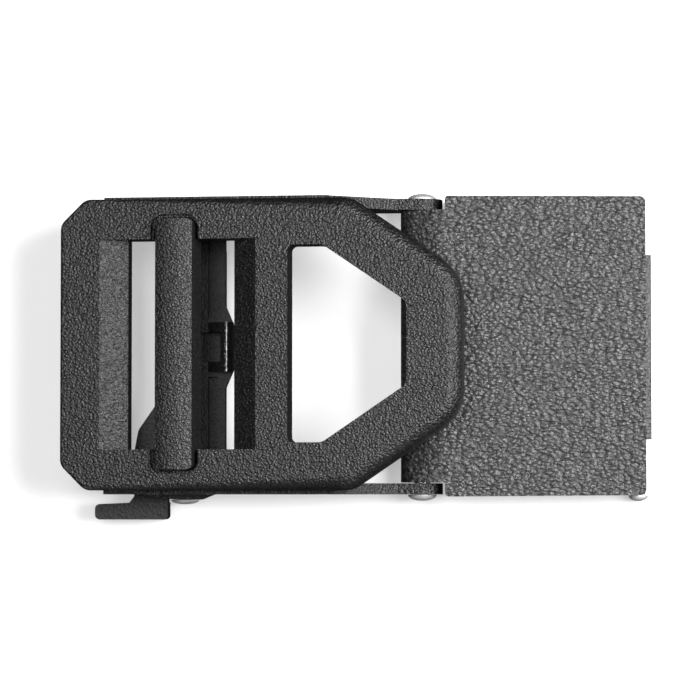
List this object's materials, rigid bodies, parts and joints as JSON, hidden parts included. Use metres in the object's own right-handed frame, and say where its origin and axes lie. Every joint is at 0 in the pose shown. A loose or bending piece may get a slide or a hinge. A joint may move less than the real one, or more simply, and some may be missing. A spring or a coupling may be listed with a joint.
{
  "type": "belt buckle",
  "caption": "Open-frame track belt buckle: chamfered frame with a cross bar and a nose window, a sprung pawl with a side lever, and a hinged strap clamp with a toothed flap.",
  "frame": {"origin": "middle of the clamp's flat back face, on the strap's centreline", "axes": "+X along the strap from the frame towards the clamp's mouth, +Y across the strap away from the release lever, +Z out of the buckle's face"},
  "size_m": [0.0823, 0.0459, 0.0186],
  "materials": {
    "powder_coat": "fine matt black powder coat with a sandy grain",
    "wrinkle_coat": "coarse black wrinkle coat",
    "polished_steel": "polished rivet ends",
    "spring_steel": "drawn spring wire",
    "black_steel": "blackened screw steel"
  },
  "bodies": {
    "frame": {"buckle_frame": "powder_coat", "cross_bar": "powder_coat", "cross_bar_screw_lower": "black_steel", "cross_bar_screw_upper": "black_steel", "pawl_pin": "polished_steel", "hinge_pin": "polished_steel", "pawl_spring": "spring_steel"},
    "pawl": {"pawl_lever": "powder_coat"},
    "clamp": {"clamp_body": "wrinkle_coat", "flap_pin": "polished_steel"},
    "flap": {"clamp_flap": "powder_coat", "set_screw_lower": "black_steel", "set_screw_upper": "black_steel"}
  },
  "joints": [
    {"name": "pawl_release", "type": "hinge", "parent": "frame", "child": "pawl", "pos_m": [-0.05062, 0, 0.0027], "axis": [0, 1, 0], "range_deg": [0, 12], "stiffness_Nm_per_rad": 0.02, "springref_deg": -22.92, "deforming": ["pawl_spring"]},
    {"name": "clamp_hinge", "type": "hinge", "parent": "frame", "child": "clamp", "pos_m": [-0.017, 0, 0.0039], "axis": [0, 1, 0], "range_deg": [-30, 80]},
    {"name": "flap_hinge", "type": "hinge", "parent": "clamp", "child": "flap", "pos_m": [0.0134, 0, 0.00165], "axis": [0, -1, 0], "range_deg": [0, 95]}
  ]
}
